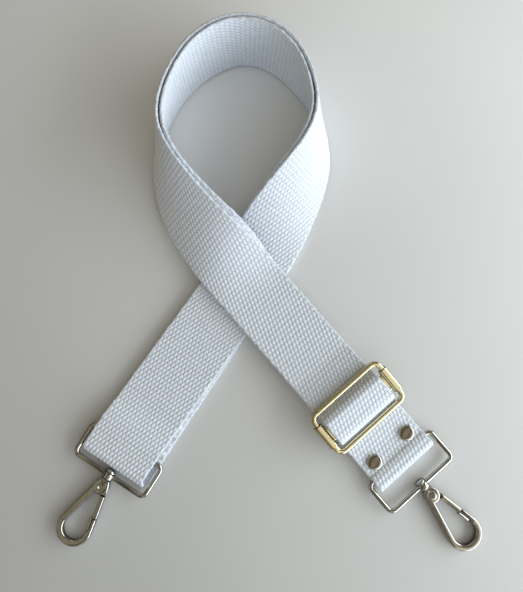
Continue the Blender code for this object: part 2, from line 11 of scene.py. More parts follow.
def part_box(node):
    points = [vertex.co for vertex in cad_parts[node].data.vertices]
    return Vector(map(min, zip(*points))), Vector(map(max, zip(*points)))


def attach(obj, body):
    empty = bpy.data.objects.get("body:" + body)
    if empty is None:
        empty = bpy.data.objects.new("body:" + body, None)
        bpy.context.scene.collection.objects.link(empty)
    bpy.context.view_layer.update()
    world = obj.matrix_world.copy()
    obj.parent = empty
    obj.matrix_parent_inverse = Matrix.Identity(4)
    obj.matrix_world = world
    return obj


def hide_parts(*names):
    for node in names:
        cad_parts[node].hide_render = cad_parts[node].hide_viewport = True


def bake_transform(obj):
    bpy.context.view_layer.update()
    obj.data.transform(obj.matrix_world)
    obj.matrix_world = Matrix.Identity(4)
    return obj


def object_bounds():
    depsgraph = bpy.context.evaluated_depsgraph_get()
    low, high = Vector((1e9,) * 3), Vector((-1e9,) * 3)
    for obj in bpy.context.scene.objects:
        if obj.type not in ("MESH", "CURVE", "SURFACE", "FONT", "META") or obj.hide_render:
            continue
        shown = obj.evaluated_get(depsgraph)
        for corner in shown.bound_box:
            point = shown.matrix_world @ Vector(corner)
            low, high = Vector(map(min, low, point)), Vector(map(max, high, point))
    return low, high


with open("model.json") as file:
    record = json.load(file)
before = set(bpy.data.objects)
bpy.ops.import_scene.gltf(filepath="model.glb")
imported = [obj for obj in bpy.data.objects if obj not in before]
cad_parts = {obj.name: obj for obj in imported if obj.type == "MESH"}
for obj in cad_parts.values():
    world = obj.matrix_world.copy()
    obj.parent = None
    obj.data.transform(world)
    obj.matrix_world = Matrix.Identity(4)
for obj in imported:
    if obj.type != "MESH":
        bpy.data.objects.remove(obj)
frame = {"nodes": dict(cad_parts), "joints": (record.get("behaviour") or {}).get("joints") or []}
cadBox = [list(corner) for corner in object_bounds()]
print("frame loaded:", len(frame["nodes"]), "nodes")

up = Vector((0, 0, 1))
along = Vector((1, 0, 0))       # out along a hook, in the hook's own frame
sideways = Vector((0, 1, 0))
joints = {joint["name"]: joint for joint in frame["joints"]}


# Frames of the moving pieces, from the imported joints

def turnedTo(x, y, origin):
    rotation = Matrix((x, y, x.cross(y))).transposed().to_4x4()
    return Matrix.Translation(origin) @ rotation


def hookFrame(side):
    swing = joints[side + "_bail_swing"]
    outward = Vector(joints[side + "_swivel"]["axis"]).normalized()
    return turnedTo(outward, Vector(swing["axis"]).normalized(), Vector(swing["pos_m"]))


def middleOf(node):
    low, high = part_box(node)
    return (low + high) / 2


rightAlong = Vector(joints["slider_travel"]["axis"]).normalized()
rightAcross = up.cross(rightAlong)
sliderSlope = Vector(joints["frame_shift"]["axis"]).normalized()
sliderMiddle = middleOf("slider_frame")
sliderFrame = turnedTo(sliderSlope, rightAcross, sliderMiddle)
sliderTilt = math.asin(-sliderSlope.z)


# Meshes

sharpAngle = 35                 # degrees: edges that turn more than this stay sharp
bevelAngle = 40                 # and edges that turn more than this are softened


def addObject(name, data):
    thing = bpy.data.objects.new(name, data)
    bpy.context.collection.objects.link(thing)
    return thing


def smoothen(mesh, angle=sharpAngle):
    mesh.shade_smooth()
    mesh.set_sharp_from_angle(angle=math.radians(angle))


def addPiece(name, vertices, faces):
    mesh = bpy.data.meshes.new(name)
    mesh.from_pydata([tuple(vertex) for vertex in vertices], [], faces)
    shape = bmesh.new()
    shape.from_mesh(mesh)
    bmesh.ops.recalc_face_normals(shape, faces=shape.faces)
    shape.to_mesh(mesh)
    shape.free()
    smoothen(mesh)
    return addObject(name, mesh)


def skin(rings, closed=False):
    # The points of rings, and the faces between each ring and the next
    count = len(rings[0])
    faces = []
    for spot in range(len(rings) if closed else len(rings) - 1):
        here, there = spot * count, (spot + 1) % len(rings) * count
        for corner in range(count):
            after = (corner + 1) % count
            faces.append((here + corner, here + after, there + after, there + corner))
    return [point for ring in rings for point in ring], faces


def loft(name, rings, closed=False):
    # A skin over rings of points, with flat ends or joined up into a loop
    points, faces = skin(rings, closed)
    if not closed:
        count = len(rings[0])
        faces += [tuple(range(count)), tuple(range(len(points) - count, len(points)))]
    return addPiece(name, points, faces)


def circle(centre, side, top, radius, steps):
    angles = [2 * math.pi * step / steps for step in range(steps)]
    return [centre + radius * (math.cos(angle) * side + math.sin(angle) * top) for angle in angles]


def turned(name, profile, axis, side, steps, start=Vector((0, 0, 0))):
    # Turned on a lathe: the profile holds places along the axis with the radius there
    top = axis.cross(side)
    return loft(name, [circle(start + axis * reach, side, top, radius, steps) for reach, radius in profile])


def roundedBox(right, left, high, low, radius, steps):
    # Round a rectangle with round corners: the place of each point and its direction outwards
    corners = ((right - radius, high - radius), (left + radius, high - radius),
               (left + radius, low + radius), (right - radius, low + radius))
    points = []
    for quarter, (x, y) in enumerate(corners):
        for step in range(steps + 1):
            angle = math.pi / 2 * (quarter + step / steps)
            c, s = math.cos(angle), math.sin(angle)
            points.append((x + radius * c, y + radius * s, c, s))
    return points


def roundedRing(centre, side, top, outer, inner, high, low, radius, steps=4):
    # A section from -inner to outer along side and from -low to high along top, with round corners
    return [centre + side * x + top * z
            for x, z, *_ in roundedBox(outer, -inner, high, -low, radius, steps)]


def settle(piece):
    # The piece's modifiers become its mesh
    graph = bpy.context.evaluated_depsgraph_get()
    mesh = bpy.data.meshes.new_from_object(piece.evaluated_get(graph))
    piece.modifiers.clear()
    piece.data = mesh


def combine(piece, operation, tools):
    for tool in tools:
        step = piece.modifiers.new(operation.title(), "BOOLEAN")
        step.operation = operation
        step.solver = "EXACT"
        step.object = tool
    settle(piece)
    for tool in tools:
        bpy.data.objects.remove(tool)


def softenEdges(piece, width):
    step = piece.modifiers.new("Soft edges", "BEVEL")
    step.width = width
    step.segments = 2
    step.limit_method = "ANGLE"
    step.angle_limit = math.radians(bevelAngle)
    settle(piece)
    smoothen(piece.data, bevelAngle)


def place(piece, body, node, material, matrix=None):
    # The piece stands for a CAD node and moves with its body
    if matrix:
        piece.data.transform(matrix)
    piece.data.materials.clear()
    piece.data.materials.append(material)
    if body:
        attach(piece, body)
    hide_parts(node)


arcStep = math.radians(6)
# The turn at a wheel lies within one full turn from these
clockwiseFrom = -1.6 * math.pi
otherFrom = -0.4 * math.pi


def belt(wheels):
    # A path that runs straight between wheels and round them. A wheel is (place, height, radius): a
    # positive radius turns clockwise, a negative one the other way, and zero is a plain point. It
    # returns the place, height and direction of each point.
    angles = []
    for (x1, z1, r1), (x2, z2, r2) in zip(wheels, wheels[1:]):
        reach = math.hypot(x2 - x1, z2 - z1)
        angles.append(math.atan2(z2 - z1, x2 - x1) + math.asin((r2 - r1) / reach))
    points = []
    for spot, (x, z, radius) in enumerate(wheels):
        first = angles[max(spot - 1, 0)]
        last = angles[min(spot, len(angles) - 1)]
        turn = last - first
        lowest = clockwiseFrom if radius > 0 else otherFrom
        while turn < lowest:
            turn += 2 * math.pi
        while turn >= lowest + 2 * math.pi:
            turn -= 2 * math.pi
        steps = max(1, math.ceil(abs(turn) / arcStep)) if radius else 0
        for step in range(steps + 1):
            angle = first + turn * step / steps if steps else first + turn / 2
            points.append((x - radius * math.sin(angle), z + radius * math.cos(angle), angle))
            if not turn:
                break
    return points


def smoothstep(value):
    value = min(max(value, 0), 1)
    return value * value * (3 - 2 * value)


# Shader building

def setInputs(tree, node, inputs):
    # Each input is linked to a socket or given a value
    for label, value in inputs.items():
        socket = node.inputs[label]
        if isinstance(value, bpy.types.NodeSocket):
            tree.links.new(value, socket)
        elif socket.type == "RGBA":
            socket.default_value = (*value, 1)
        else:
            socket.default_value = value
    return node


def addNode(tree, kind, inputs):
    return setInputs(tree, tree.nodes.new(kind), inputs)


def addMath(tree, operation, *values):
    node = tree.nodes.new("ShaderNodeMath")
    node.operation = operation
    return setInputs(tree, node, dict(enumerate(values))).outputs[0]


def addDot(tree, vector, axis):
    node = tree.nodes.new("ShaderNodeVectorMath")
    node.operation = "DOT_PRODUCT"
    return setInputs(tree, node, {0: vector, 1: axis}).outputs["Value"]


def addNoise(tree, vector, scale, detail=3, roughness=0.5):
    inputs = {"Vector": vector, "Scale": scale, "Detail": detail, "Roughness": roughness}
    return addNode(tree, "ShaderNodeTexNoise", inputs).outputs[0]


def addRange(tree, value, low, high, toLow=0, toHigh=1):
    inputs = {"Value": value, "From Min": low, "From Max": high, "To Min": toLow, "To Max": toHigh}
    return addNode(tree, "ShaderNodeMapRange", inputs).outputs[0]


def addMix(tree, factor, first, second):
    node = tree.nodes.new("ShaderNodeMix")
    node.data_type = "RGBA"
    return setInputs(tree, node, {0: factor, 6: first, 7: second}).outputs[2]


def addBump(tree, height, distance):
    inputs = {"Height": height, "Distance": distance}
    return addNode(tree, "ShaderNodeBump", inputs).outputs["Normal"]


def addGroup(tree, group, inputs):
    node = tree.nodes.new("ShaderNodeGroup")
    node.node_tree = group
    return setInputs(tree, node, inputs)


def newGroup(name, inputs, outputs):
    tree = bpy.data.node_groups.new(name, "ShaderNodeTree")
    for label, kind, value in inputs:
        socket = tree.interface.new_socket(label, in_out="INPUT", socket_type=kind)
        if value is not None:
            socket.default_value = value
    for label in outputs:
        tree.interface.new_socket(label, in_out="OUTPUT", socket_type="NodeSocketFloat")
    return tree, tree.nodes.new("NodeGroupInput"), tree.nodes.new("NodeGroupOutput")


def newMaterial(name):
    material = bpy.data.materials.new(name)
    material.use_nodes = True
    return material, material.node_tree, material.node_tree.nodes["Principled BSDF"]


# Cotton: lobes of yarn that lie like bricks

cotton = {
    "crest": (0.80, 0.85, 0.90),
    "valleyShade": (0.58, 0.60, 0.64),
    "lobePower": 0.6,           # how full a lobe is across
    "swellPower": 0.5,          # and along
    "yarnScale": 2600,
    "yarnShare": 0.35,          # of the fibres in the height
    "fuzzScale": 1300,
    "fuzzRange": (0.34, 0.60),
    "patchScale": 420,
    "patchTone": 0.20,
    "toneRange": (0.25, 1.10),  # heights where the valleys' painted shade and the crests' colour are reached
    "bump": 0.00010,
    "roughness": 0.92,
    "specular": 0.2,
    "sheen": 0.12,
}


def weaveGroup():
    # Place holds columns across, rows along, and 1 where it is selvedge
    inputs = [("Place", "NodeSocketVector", None), ("Fuzz", "NodeSocketFloat", 0.5)]
    tree, source, result = newGroup("Webbing weave", inputs, ["Height"])
    split = addNode(tree, "ShaderNodeSeparateXYZ", {0: source.outputs["Place"]})
    columns, rows, selvedge = split.outputs
    bank = addMath(tree, "FLOORED_MODULO", addMath(tree, "FLOOR", rows), 2.0)
    turn = addMath(tree, "SUBTRACT", addMath(tree, "SUBTRACT", columns, 0.5), bank)
    lobe = addMath(tree, "ABSOLUTE", addMath(tree, "COSINE", addMath(tree, "MULTIPLY", turn, math.pi / 2)))
    swell = addMath(tree, "SINE", addMath(tree, "MULTIPLY", addMath(tree, "FRACT", rows), math.pi))
    face = addMath(tree, "MULTIPLY", addMath(tree, "POWER", lobe, cotton["lobePower"]),
                   addMath(tree, "POWER", swell, cotton["swellPower"]))
    plain = addMath(tree, "MULTIPLY", face, addMath(tree, "SUBTRACT", 1.0, selvedge))
    edge = addMath(tree, "MULTIPLY", source.outputs["Fuzz"], selvedge)
    setInputs(tree, result, {"Height": addMath(tree, "ADD", plain, edge)})
    return tree


def makeCotton():
    material, tree, shader = newMaterial("cottonWebbing")
    wovenPlace = tree.nodes.new("ShaderNodeAttribute")
    wovenPlace.attribute_name = "weave"
    spot = tree.nodes.new("ShaderNodeTexCoord").outputs["Object"]
    fuzz = addRange(tree, addNoise(tree, spot, cotton["fuzzScale"], 3, 0.6), *cotton["fuzzRange"])
    lobes = addGroup(tree, weaveGroup(), {"Place": wovenPlace.outputs["Vector"], "Fuzz": fuzz})
    yarn = addNoise(tree, spot, cotton["yarnScale"], 4, 0.65)
    fibres = addMath(tree, "MULTIPLY", yarn, cotton["yarnShare"])
    height = addMath(tree, "ADD", lobes.outputs["Height"], fibres)
    patches = addNoise(tree, spot, cotton["patchScale"], 3, 0.7)
    patches = addRange(tree, patches, 0.3, 0.7, -cotton["patchTone"], cotton["patchTone"])
    # Painted shade: the valleys between the lobes are coloured darker than the crests
    tone = addMath(tree, "ADD", addRange(tree, height, *cotton["toneRange"]), patches)
    setInputs(tree, shader, {
        "Base Color": addMix(tree, tone, cotton["valleyShade"], cotton["crest"]),
        "Roughness": cotton["roughness"],
        "Sheen Weight": cotton["sheen"],
        "Specular IOR Level": cotton["specular"],
        "Normal": addBump(tree, height, cotton["bump"]),
    })
    return material


# Metals: one group gives the mottle of the plating and its fine scratches

# The flank colour of each finish is painted shade: the dark colour its flanks take where they turn away
# from the camera
metals = {
    "nickel": {"colour": (0.68, 0.66, 0.62), "dull": (0.54, 0.52, 0.48), "roughness": (0.05, 0.10),
               "flank": (0.05, 0.045, 0.035)},
    "rivetNickel": {"colour": (0.66, 0.62, 0.56), "dull": (0.52, 0.48, 0.42), "roughness": (0.06, 0.13),
                    "flank": (0.16, 0.12, 0.08)},
    "paleGold": {"colour": (0.88, 0.80, 0.54), "dull": (0.74, 0.64, 0.38), "roughness": (0.05, 0.11),
                 "flank": (0.26, 0.20, 0.08)},
    "steel": {"colour": (0.66, 0.65, 0.62), "dull": (0.50, 0.49, 0.46), "roughness": (0.07, 0.14),
              "flank": (0.08, 0.08, 0.08)},
}
plating = {
    "mottleScale": 300.0,
    "scratchScale": 900.0,
    "scratchTurn": (0.3, 0.2, 0.9),
    "scratchStretch": (1.0, 9.0, 4.0),
    "scratchDepth": 0.000004,
    "dullShare": 0.35,
    "flankFacing": (0.18, 0.62),    # how far the metal faces away where the painted shade of its flanks comes in
    "flankShare": 0.88,
}


def platingGroup():
    inputs = [("Mottle scale", "NodeSocketFloat", plating["mottleScale"]),
              ("Scratch scale", "NodeSocketFloat", plating["scratchScale"])]
    tree, source, result = newGroup("Plating", inputs, ["Mottle", "Scratches"])
    spot = tree.nodes.new("ShaderNodeTexCoord").outputs["Object"]
    mottle = addNoise(tree, spot, source.outputs["Mottle scale"], 4, 0.6)
    stretch = {"Vector": spot, "Rotation": plating["scratchTurn"], "Scale": plating["scratchStretch"]}
    stretched = addNode(tree, "ShaderNodeMapping", stretch).outputs["Vector"]
    scratches = addNoise(tree, stretched, source.outputs["Scratch scale"], 2, 0.5)
    setInputs(tree, result, {"Mottle": addRange(tree, mottle, 0.35, 0.65),
                             "Scratches": addRange(tree, scratches, 0.4, 0.6)})
    return tree


def makeMetal(name, group):
    finish = metals[name]
    material, tree, shader = newMaterial(name)
    surface = addGroup(tree, group, {})
    mottle = surface.outputs["Mottle"]
    worn = addMath(tree, "MULTIPLY", mottle, plating["dullShare"])
    plain = addMix(tree, worn, finish["colour"], finish["dull"])
    # Painted shade: the metal darkens towards its silhouettes, where it turns away from the camera
    facing = tree.nodes.new("ShaderNodeLayerWeight").outputs["Facing"]
    flank = addRange(tree, facing, *plating["flankFacing"], 0, plating["flankShare"])
    setInputs(tree, shader, {
        "Base Color": addMix(tree, flank, plain, finish["flank"]),
        "Metallic": 1,
        "Roughness": addRange(tree, mottle, 0, 1, *finish["roughness"]),
        "Normal": addBump(tree, surface.outputs["Scratches"], plating["scratchDepth"]),
    })
    return material


cottonWebbing = makeCotton()
platingTree = platingGroup()
nickel, rivetNickel, paleGold, steel = [makeMetal(name, platingTree) for name in metals]
print("materials made")


# Webbing: its route, the same as the CAD solid's, in finer steps

strap = {
    "width": 0.038,
    "thickness": 0.0018,
    "clearance": 0.0003,
    "loopGap": 0.0008,          # between the plies at the top of the loop
    "edgeSlip": 0.0029,         # how far the lower ply stands out beside the upper one at the left fold
    "flankSlip": 0.0030,        # the same where the left flank rises
    "rivetBase": 0.0010,
    "rightFoldSlack": 0.0037,   # from the right bail's bar to the middle of the webbing's fold
    "leftFoldSlack": 0.0110,
    "leftLegAngle": 35.3,       # degrees from -Y towards -X
    "leftLegLength": 0.1206,
    "leftTurnAngle": 3.0,       # degrees that the left leg bends in its own plane
    "leftTurnLength": 0.030,
    "leftOpeningLength": 0.020,
    "loopHalfWidth": 0.0466,
    "loopReach": 0.1332,
    "crossingReach": 0.030,
    "tail": 0.0090,             # webbing past the rivets at each end
    "bailWireRadius": 0.00125,
    "stationStep": 0.0015,
    "splineSteps": 24,
    "foldSteps": 30,
    "bendLead": 0.001,          # from the slider's bar to where the right end starts to bend
    "bendTail": 0.0040,         # and from where it stops to the bail's rivets
    "bendDirection": (0.83, -0.56, 0),
    "bendReaches": (0.0197, 0.0526),    # along it, where the long run bends to follow the slider
}

# Each row of the loop holds the place across as a share of the half width, the place along as a share
# of the reach, the angle in degrees with the table, and where it has them the shares of the rise and
# of the slip
loopRows = [
    (-0.09, 0.034, 8, 1.00, 0.4), (-0.26, 0.097, 21, 0.90, 0.8), (-0.45, 0.168, 33, 0.50, 1.0),
    (-0.62, 0.246, 41, 0.18, 0.7), (-0.77, 0.328, 49, 0.00, 0.3), (-0.90, 0.418, 61),
    (-0.99, 0.515, 73), (-1.01, 0.619, 83), (-0.93, 0.728, 88), (-0.79, 0.832, 91),
    (-0.57, 0.929, 97), (-0.27, 1.001, 99), (0.05, 1.020, 98), (0.36, 0.984, 98), (0.61, 0.902, 96),
    (0.79, 0.794, 88), (0.90, 0.690, 80), (0.905, 0.586, 72), (0.83, 0.485, 59), (0.69, 0.392, 46),
    (0.53, 0.302, 33), (0.36, 0.209, 16), (0.19, 0.109, 0),
]
rightRowShares = [1.4, 1.0, 0.6, 0.2]   # of the crossing's reach
leftRowCount = 9

slider = {
    "barWidth": 0.0030,
    "barThickness": 0.0026,
    "opening": 0.0222,
    "margin": 0.0024,
    "shiftRoom": 0.00060,       # room between the webbing's rise and the frame, which can shift
    "cornerRadius": 0.0037,
    "bevel": 0.0005,
    "edgeRadius": 0.0011,
    "centreWidth": 0.0100,
    "centreThickness": 0.0012,
    "sleeveLength": 0.0140,
    "sleeveWall": 0.0006,
    "sleeveSeam": 0.0006,
    "edgeSteps": 5,
}

clearance = strap["clearance"]
layer = strap["thickness"] + clearance
halfWidth = strap["width"] / 2
plyHalf = strap["thickness"] / 2
stubLevel = strap["rivetBase"] + clearance + plyHalf
runLevel = stubLevel + layer
crossingRise = 2 * layer
bailWrap = strap["bailWireRadius"] + clearance + plyHalf
frameOffset = (slider["opening"] + slider["barWidth"]) / 2
frameWrap = math.hypot(slider["barWidth"] / 2 - slider["bevel"], slider["barThickness"] / 2)
frameWrap += clearance + plyHalf
barWheelOffset = frameOffset - slider["shiftRoom"]
centreOffset = (slider["centreWidth"] - slider["centreThickness"]) / 2
centreWrap = slider["centreThickness"] / 2 + clearance + plyHalf
barSide = halfWidth + slider["margin"] + slider["barWidth"] / 2
sliderPlace = sliderMiddle.dot(rightAlong)
sliderRivetPlace = middleOf("slider_rivet_1_cap").dot(rightAlong)
bailRivetPlace = middleOf("bail_rivet_1_cap").dot(rightAlong)
rightBar = Vector(joints["right_bail_swing"]["pos_m"])
leftAngle = math.radians(strap["leftLegAngle"])
leftAlong = Vector((-math.sin(leftAngle), -math.cos(leftAngle), 0))


def capOf(node):
    # The underside, height and radius of a rivet's cap
    low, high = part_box(node)
    return low.z, high.z - low.z, (high.x - low.x) / 2


def sliderWheel(reach, radius):
    # A wheel at a place along the tilted slider
    level = sliderMiddle.z - reach * math.sin(sliderTilt)
    return sliderPlace + reach * math.cos(sliderTilt), level, radius


def rightEndPath():
    # From the end under the bail rivets round the bail's bar, through the slider, on to the crossing
    bar = rightBar.dot(rightAlong)
    capLevel, capHeight, capRadius = capOf("slider_rivet_1_cap")
    overCap = capLevel + capHeight + clearance + plyHalf
    return belt([
        (bailRivetPlace - strap["tail"], stubLevel, 0),
        (bailRivetPlace + capRadius, stubLevel, 0),
        (bar, rightBar.z, -bailWrap),
        (bar + strap["rightFoldSlack"], rightBar.z, -bailWrap),
        (bar, rightBar.z, -bailWrap),
        (bailRivetPlace + capRadius, runLevel, 0),
        (bailRivetPlace - capRadius, runLevel, 0),
        sliderWheel(barWheelOffset, frameWrap),
        sliderWheel(centreOffset, -centreWrap - layer),
        sliderWheel(-centreOffset, -centreWrap - layer),
        sliderWheel(-barWheelOffset, frameWrap),
        (sliderRivetPlace, overCap, 0),
        (strap["crossingReach"], plyHalf + layer + crossingRise, 0),
    ])


def sliderEndPath():
    # From the crossing under the top ply, round the slider's centre bar and back underneath
    capRadius = capOf("slider_rivet_1_cap")[2]
    return belt([
        (strap["crossingReach"], plyHalf + crossingRise, 0),
        (sliderRivetPlace - capRadius, runLevel, 0),
        (sliderRivetPlace + capRadius, runLevel, 0),
        sliderWheel(-barWheelOffset, -frameWrap - layer),
        sliderWheel(-centreOffset, centreWrap),
        sliderWheel(centreOffset, centreWrap),
        sliderWheel(-barWheelOffset, frameWrap + 2 * layer),
        (sliderRivetPlace + capRadius, stubLevel, 0),
        (sliderRivetPlace - strap["tail"], stubLevel, 0),
    ])


def leftLegPoint(reach):
    start = strap["leftLegLength"] - strap["leftTurnLength"]
    beyond = max(reach - start, 0)
    turn = math.radians(strap["leftTurnAngle"]) * beyond / strap["leftTurnLength"]
    if not turn:
        return leftAlong * reach
    radius = beyond / turn
    side = up.cross(leftAlong)
    return leftAlong * (start + radius * math.sin(turn)) + side * radius * (1 - math.cos(turn))


def controlRows():
    # Of the doubled webbing: x, y, angle with the table, rise and slip
    rows = []
    for share in rightRowShares:
        point = rightAlong * share * strap["crossingReach"]
        rows.append((point.x, point.y, 0, crossingRise, 0))
    for across, reach, angle, *shares in loopRows:
        rise, slip = shares or (0, 0)
        rows.append((across * strap["loopHalfWidth"], reach * strap["loopReach"], math.radians(angle),
                     rise * crossingRise, slip * strap["flankSlip"]))
    for step in range(leftRowCount + 2):
        point = leftLegPoint(strap["leftLegLength"] * step / leftRowCount)
        rows.append((point.x, point.y, 0, 0, 0))
    return rows


def spline(rows, fineness):
    # A uniform cubic B-spline, from the second row to the last but one
    samples = []
    for first in range(len(rows) - 3):
        for step in range(fineness):
            t = step / fineness
            weights = ((1 - t) ** 3, 3 * t ** 3 - 6 * t * t + 4, 1 + 3 * t + 3 * t * t - 3 * t ** 3, t ** 3)
            columns = zip(*rows[first:first + 4])
            samples.append([sum(w * value for w, value in zip(weights, column)) / 6 for column in columns])
    last = rows[-3:]
    samples.append([(before + 4 * here + after) / 6 for before, here, after in zip(*last)])
    return samples


def laidStations():
    # Of the doubled webbing: middle, across, normal, gap between the plies, slip and direction
    samples = spline(controlRows(), strap["splineSteps"])
    reach = [0]
    for before, after in zip(samples, samples[1:]):
        reach.append(reach[-1] + math.dist(before[:2], after[:2]))
    count = round(reach[-1] / strap["stationStep"])
    result = []
    spot = 0
    for step in range(count + 1):
        goal = reach[-1] * step / count
        while spot < len(reach) - 2 and reach[spot + 1] < goal:
            spot += 1
        share = (goal - reach[spot]) / (reach[spot + 1] - reach[spot])
        before, after = samples[spot], samples[spot + 1]
        x, y, angle, rise, slip = [a + (b - a) * share for a, b in zip(before, after)]
        tangent = Vector((after[0] - before[0], after[1] - before[1], 0)).normalized()
        side = tangent.cross(up)
        toEnd = reach[-1] - goal
        parting = smoothstep(1 - (toEnd - strap["leftFoldSlack"] - bailWrap) / strap["leftOpeningLength"])
        gap = layer + (strap["loopGap"] - clearance) * math.sin(angle) ** 2
        gap += (2 * bailWrap - gap) * parting
        lift = (gap / 2 + plyHalf) * abs(math.cos(angle)) + rise
        middle = Vector((x, y, lift + halfWidth * math.sin(angle)))
        across = side * math.cos(angle) + up * math.sin(angle)
        normal = up * math.cos(angle) - side * math.sin(angle)
        slip -= strap["edgeSlip"] * smoothstep(1 - toEnd / strap["leftLegLength"])
        result.append((middle, across, normal, gap, slip, tangent))
    return result


def webbingRoute():
    # The webbing's middle line and its direction across, from one end to the other
    laid = laidStations()
    route = [(rightAlong * reach + up * height, rightAcross) for reach, height, _ in rightEndPath()[:-1]]
    endCount = len(route)
    route += [(middle + normal * gap / 2, across) for middle, across, normal, gap, *_ in laid]
    middle, across, *_, tangent = laid[-1]
    steps = strap["foldSteps"]
    for step in range(1, steps):
        angle = math.pi * step / steps
        outward = up * math.cos(angle) + tangent * math.sin(angle)
        route.append((middle + outward * bailWrap - across * strap["edgeSlip"] * step / steps, across))
    route += [(middle - normal * gap / 2 + across * slip, across)
              for middle, across, normal, gap, slip, _ in reversed(laid)]
    route += [(rightAlong * reach + up * height, rightAcross) for reach, height, _ in sliderEndPath()[1:]]
    return [np.array(column) for column in zip(*route)] + [endCount]


# Webbing: the woven strip along the route

weave = {
    "columns": 33,
    "column": 0.001072,         # half the width of a lobe
    "row": 0.00269,             # length of a lobe
    "depth": 0.00027,
    "wave": 0.12,               # how far the ends of the lobes reach between those of the next row
    "lean": 0.45,
    "pointsPerColumn": 4,
    "stepsPerRow": 4,
    "edgeRadius": 0.00084,
    "edgeLoops": 0.00020,       # how far the weft's turns stand out of the selvedge
    "edgeRoughness": 0.00013,
    "edgeSteps": 6,
    "edgeArc": 72,              # degrees from its middle that the selvedge turns each way
    "innerPoints": 13,
    "innerRelief": 0.1,         # share of the depth on the side that lies against the other ply
    "smoothing": 0.0006,
    "pillow": 0.00028,          # how far the cloth swells up round a rivet's cap
    "pillowOffset": 0.0005,     # from the cap's rim to the top of the swell
    "pillowSpread": 0.0010,
}
rowStep = weave["row"] / weave["stepsPerRow"]


def evenRows(middle, across, endCount):
    # Resampled at even steps and smoothed; also the row where the webbing passes under the slider
    reach = np.concatenate([[0], np.cumsum(np.linalg.norm(np.diff(middle, axis=0), axis=1))])
    rows = np.arange(0, reach[-1], rowStep)
    kernel = np.exp(-0.5 * (np.arange(-4, 5) * rowStep / weave["smoothing"]) ** 2)
    kernel /= kernel.sum()
    smooth = []
    for values in (middle, across):
        even = np.stack([np.interp(rows, reach, values[:, axis]) for axis in range(3)], axis=1)
        before = 2 * even[0] - even[4:0:-1]
        after = 2 * even[-1] - even[-2:-6:-1]
        padded = np.concatenate([before, even, after])
        columns = [np.convolve(padded[:, axis], kernel, "valid") for axis in range(3)]
        smooth.append(np.stack(columns, axis=1))
    even, sides = smooth
    sides /= np.linalg.norm(sides, axis=1)[:, None]
    underBar = sliderPlace - frameOffset * math.cos(sliderTilt)
    firstRun = even[rows < reach[endCount]]
    seam = int(np.argmin(np.abs(firstRun @ np.array(rightAlong) - underBar)))
    return even, sides, seam


def sectionGrid(rows, firstRow):
    # For each point of each row how far it is across, along and out, and its place in the weave
    reach = (firstRow + np.arange(rows))[:, None] / weave["stepsPerRow"]
    columns = np.linspace(0, weave["columns"], weave["columns"] * weave["pointsPerColumn"] + 1)
    bank = np.floor(reach) % 2
    lobe = np.abs(np.cos(np.pi / 2 * (columns - 0.5 - bank)))
    height = lobe ** cotton["lobePower"] * np.sin(np.pi * (reach % 1)) ** cotton["swellPower"]
    window = np.clip(np.minimum(columns, weave["columns"] - columns), 0, 1)
    lean = weave["lean"] * weave["row"] / (2 * np.pi) * np.sin(2 * np.pi * reach) * window
    faceAcross = (columns - weave["columns"] / 2) * weave["column"] - lean
    wave = np.cos(np.pi * (columns - 0.5)) * np.cos(np.pi * reach) * window
    faceSlip = -weave["wave"] * weave["row"] * wave
    faceOut = plyHalf - weave["depth"] * (1 - height)

    chance = np.random.default_rng(5)
    turns = np.radians(np.linspace(weave["edgeArc"], -weave["edgeArc"], weave["edgeSteps"]))
    edgeMiddle = halfWidth - weave["edgeRadius"]
    edges = []
    for side in (1, -1):
        loops = np.abs(np.sin(np.pi / 2 * (reach + side / 2))) - 0.5
        rough = chance.normal(0, 1, (rows + 1, weave["edgeSteps"]))
        rough = (rough[1:] + rough[:-1]) / 1.4
        radius = weave["edgeRadius"] + weave["edgeLoops"] * loops + weave["edgeRoughness"] * rough
        edges.append((side * (edgeMiddle + radius * np.cos(turns)), radius * np.sin(turns)))
    inner = np.linspace(edgeMiddle, -edgeMiddle, weave["innerPoints"])
    innerOut = np.full((rows, weave["innerPoints"]), weave["innerRelief"] * weave["depth"] - plyHalf)

    (rightEdge, rightOut), (leftEdge, leftOut) = edges
    offsets = np.concatenate([faceAcross, rightEdge, np.tile(inner, (rows, 1)), leftEdge[:, ::-1]], axis=1)
    outs = np.concatenate([faceOut, rightOut, innerOut, leftOut[:, ::-1]], axis=1)
    slips = np.zeros(offsets.shape)
    slips[:, :len(columns)] = faceSlip
    flag = np.ones(weave["edgeSteps"])
    places = np.concatenate([columns, flag * (weave["columns"] + 0.5),
                             inner / weave["column"] + weave["columns"] / 2, -0.5 * flag])
    flags = np.concatenate([0 * columns, flag, 0 * inner, flag])
    cloth = np.stack([np.tile(places, (rows, 1)), np.tile(reach, (1, len(places))),
                      np.tile(flags, (rows, 1))], axis=2)
    return offsets, slips, outs, cloth


def pillowAt(points):
    # How far the cloth swells up round the bail's rivets
    ring = capOf("bail_rivet_1_cap")[2] + weave["pillowOffset"]
    rise = np.zeros(points.shape[:2])
    for number in ("1", "2"):
        rivet = middleOf(f"bail_rivet_{number}_cap")
        away = np.hypot(points[..., 0] - rivet.x, points[..., 1] - rivet.y)
        rise += np.exp(-((away - ring) / weave["pillowSpread"]) ** 2)
    return rise * weave["pillow"] * (points[..., 2] > runLevel)


